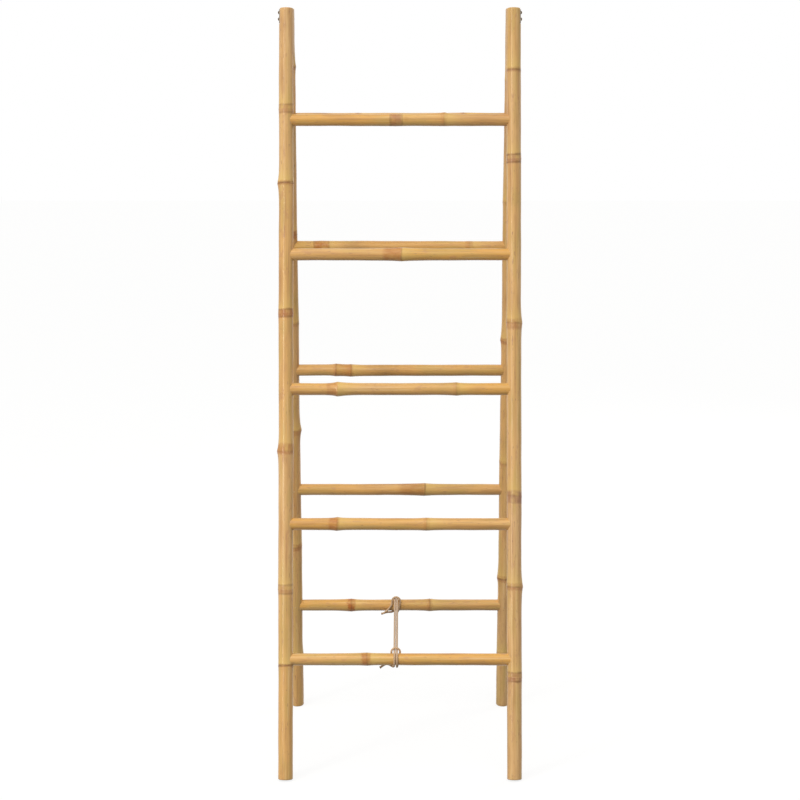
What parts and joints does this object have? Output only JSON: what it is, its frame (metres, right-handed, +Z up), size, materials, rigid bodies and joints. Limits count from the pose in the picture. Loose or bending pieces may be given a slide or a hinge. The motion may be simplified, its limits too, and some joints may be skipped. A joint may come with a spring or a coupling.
{
  "type": "towel ladder",
  "caption": "Free-standing folding towel ladder: two bamboo ladders hinged at the top, standing as an A, with a doubled cord between the lowest rungs.",
  "frame": {"origin": "on the floor, midway between the four feet", "axes": "+X along the rungs, +Y from the front ladder to the rear one, +Z up"},
  "size_m": [0.5144, 0.6, 1.5997],
  "materials": {
    "bamboo": "clear lacquer over golden bamboo",
    "peg_wood": "plain bamboo pin",
    "hinge_steel": "dull zinc",
    "screw_bronze": "antique bronze",
    "washer_nylon": "natural nylon",
    "cord": "twisted jute"
  },
  "bodies": {
    "front_ladder": {"front_left_post": "bamboo", "front_right_post": "bamboo", "front_rung_1": "bamboo", "front_rung_2": "bamboo", "front_rung_3": "bamboo", "front_rung_4": "bamboo", "front_rung_5": "bamboo", "front_rung_pegs": "peg_wood", "left_hinge_front_plate": "hinge_steel", "left_hinge_front_screws": "screw_bronze", "right_hinge_front_plate": "hinge_steel", "right_hinge_front_screws": "screw_bronze", "cord_front_hitch": "cord", "left_hinge_rivet": "hinge_steel", "left_hinge_washer": "washer_nylon", "cord_left_strand": "cord", "right_hinge_rivet": "hinge_steel", "right_hinge_washer": "washer_nylon", "cord_right_strand": "cord"},
    "rear_ladder": {"rear_left_post": "bamboo", "rear_right_post": "bamboo", "rear_rung_1": "bamboo", "rear_rung_2": "bamboo", "rear_rung_3": "bamboo", "rear_rung_4": "bamboo", "rear_rung_5": "bamboo", "rear_rung_pegs": "peg_wood", "left_hinge_rear_plate": "hinge_steel", "left_hinge_rear_screws": "screw_bronze", "right_hinge_rear_plate": "hinge_steel", "right_hinge_rear_screws": "screw_bronze", "cord_rear_hitch": "cord"}
  },
  "joints": [
    {"name": "fold", "type": "hinge", "parent": "front_ladder", "child": "rear_ladder", "pos_m": [0, 0, 1.57859], "axis": [-1, 0, 0], "range_deg": [0, 18.5], "deforming": ["cord_left_strand", "cord_right_strand"]}
  ]
}
